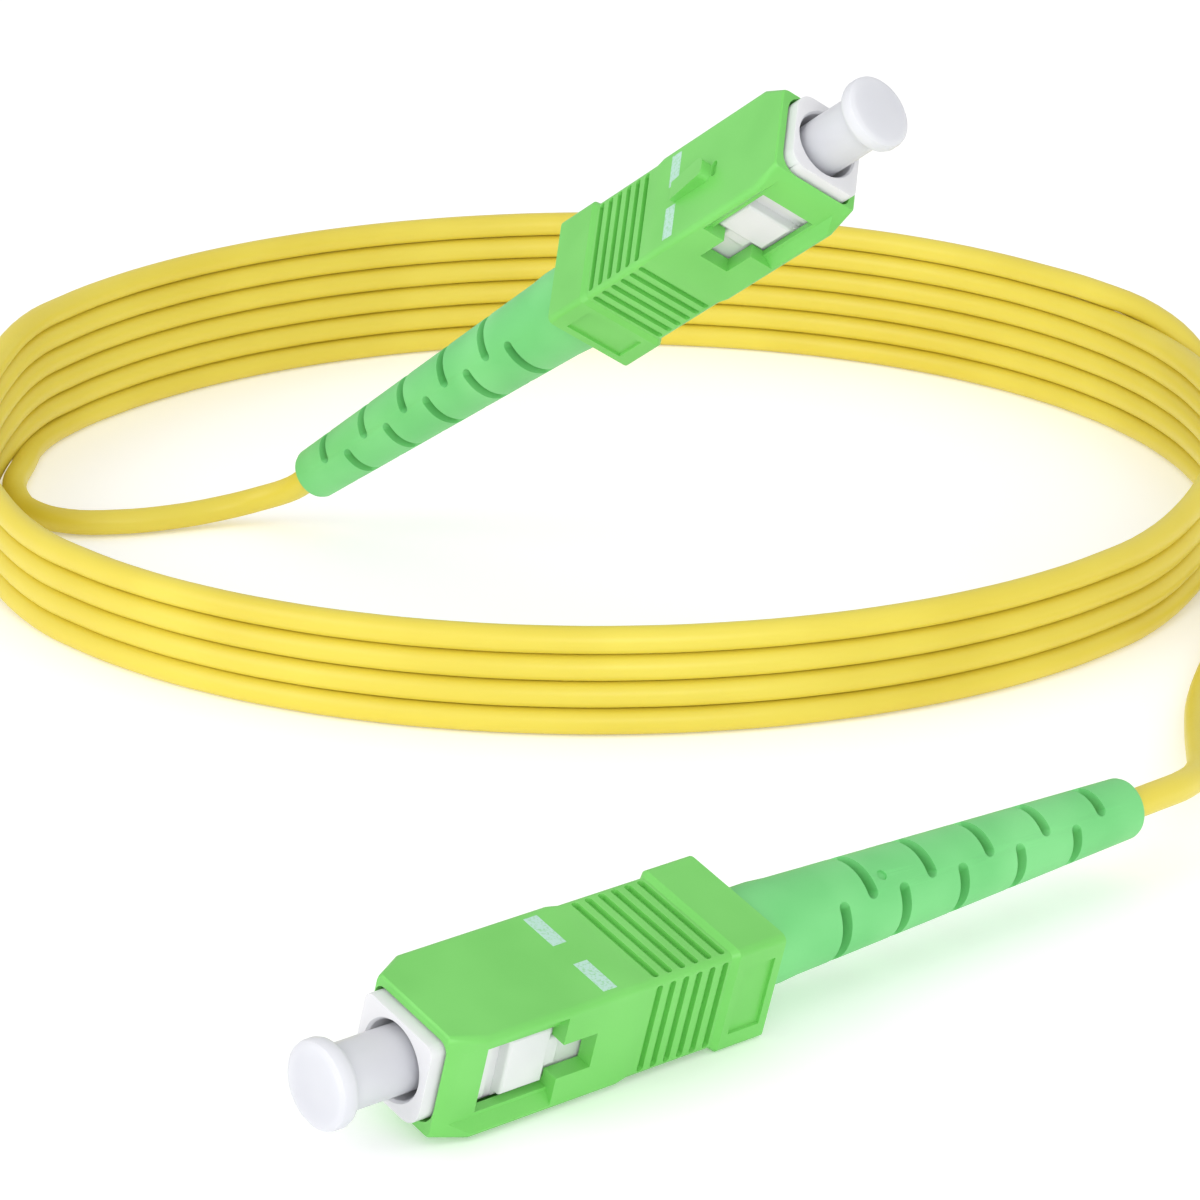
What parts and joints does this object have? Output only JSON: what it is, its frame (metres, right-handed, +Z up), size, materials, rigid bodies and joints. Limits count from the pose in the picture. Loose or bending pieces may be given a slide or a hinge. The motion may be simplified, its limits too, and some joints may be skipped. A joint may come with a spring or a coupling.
{
  "type": "fiber optic patch cord",
  "caption": "Coiled simplex fibre patch cord with a square push-pull plug on each end, sliding housings, slotted boots and pull-off dust caps.",
  "frame": {"origin": "on the surface that the cord lies on, under the middle of the box around the two connectors", "axes": "+Z up; +Y away from the front connector towards the coil; +X to the right"},
  "size_m": [0.1036, 0.1726, 0.0448],
  "materials": {
    "housing_green": "satin moulded green PBT",
    "plug_white": "satin moulded white PBT",
    "zirconia": "polished white zirconia",
    "silica": "bare silica fibre",
    "nickel_brass": "nickel-plated turned brass",
    "buffer_white": "tight white buffer",
    "spring_steel": "drawn stainless wire",
    "clear_tube": "thin natural PTFE tube",
    "aramid": "loose yellow aramid strands",
    "jacket_yellow": "satin extruded yellow jacket",
    "boot_mint": "soft moulded green elastomer",
    "cap_milky": "milky soft polyethylene"
  },
  "bodies": {
    "cord_set": {"plug_frame_a": "plug_white", "ferrule_spring_a": "spring_steel", "stop_ring_a": "nickel_brass", "guide_tube_a": "clear_tube", "aramid_yarn_a": "aramid", "crimp_ring_a": "nickel_brass", "jacket_end_a": "jacket_yellow", "boot_a": "boot_mint", "plug_frame_b": "plug_white", "ferrule_spring_b": "spring_steel", "stop_ring_b": "nickel_brass", "guide_tube_b": "clear_tube", "aramid_yarn_b": "aramid", "crimp_ring_b": "nickel_brass", "jacket_end_b": "jacket_yellow", "boot_b": "boot_mint", "cord_lead_a": "jacket_yellow", "cord_coil": "jacket_yellow", "cord_lead_b": "jacket_yellow"},
    "housing_a": {"outer_housing_a": "housing_green"},
    "ferrule_a": {"ferrule_a": "zirconia", "glass_fibre_a": "silica", "ferrule_flange_a": "nickel_brass", "buffered_fibre_a": "buffer_white"},
    "cap_a": {"dust_cap_a": "cap_milky"},
    "housing_b": {"outer_housing_b": "housing_green"},
    "ferrule_b": {"ferrule_b": "zirconia", "glass_fibre_b": "silica", "ferrule_flange_b": "nickel_brass", "buffered_fibre_b": "buffer_white"},
    "cap_b": {"dust_cap_b": "cap_milky"}
  },
  "joints": [
    {"name": "housing_a_pull_back", "type": "slide", "parent": "cord_set", "child": "housing_a", "axis": [-0.6295, 0.5319, -0.5664], "range_m": [0, 0.0018]},
    {"name": "ferrule_a_float", "type": "slide", "parent": "cord_set", "child": "ferrule_a", "axis": [-0.6295, 0.5319, -0.5664], "range_m": [0, 0.001], "stiffness_N_per_m": 1000, "deforming": ["ferrule_spring_a"]},
    {"name": "cap_a_pull_off", "type": "slide", "parent": "ferrule_a", "child": "cap_a", "axis": [0.6295, -0.5319, 0.5664], "range_m": [0, 0.015]},
    {"name": "housing_b_pull_back", "type": "slide", "parent": "cord_set", "child": "housing_b", "axis": [0.7559, 0.6547, 0], "range_m": [0, 0.0018]},
    {"name": "ferrule_b_float", "type": "slide", "parent": "cord_set", "child": "ferrule_b", "axis": [0.7559, 0.6547, 0], "range_m": [0, 0.001], "stiffness_N_per_m": 1000, "deforming": ["ferrule_spring_b"]},
    {"name": "cap_b_pull_off", "type": "slide", "parent": "ferrule_b", "child": "cap_b", "axis": [-0.7559, -0.6547, 0], "range_m": [0, 0.015]}
  ]
}
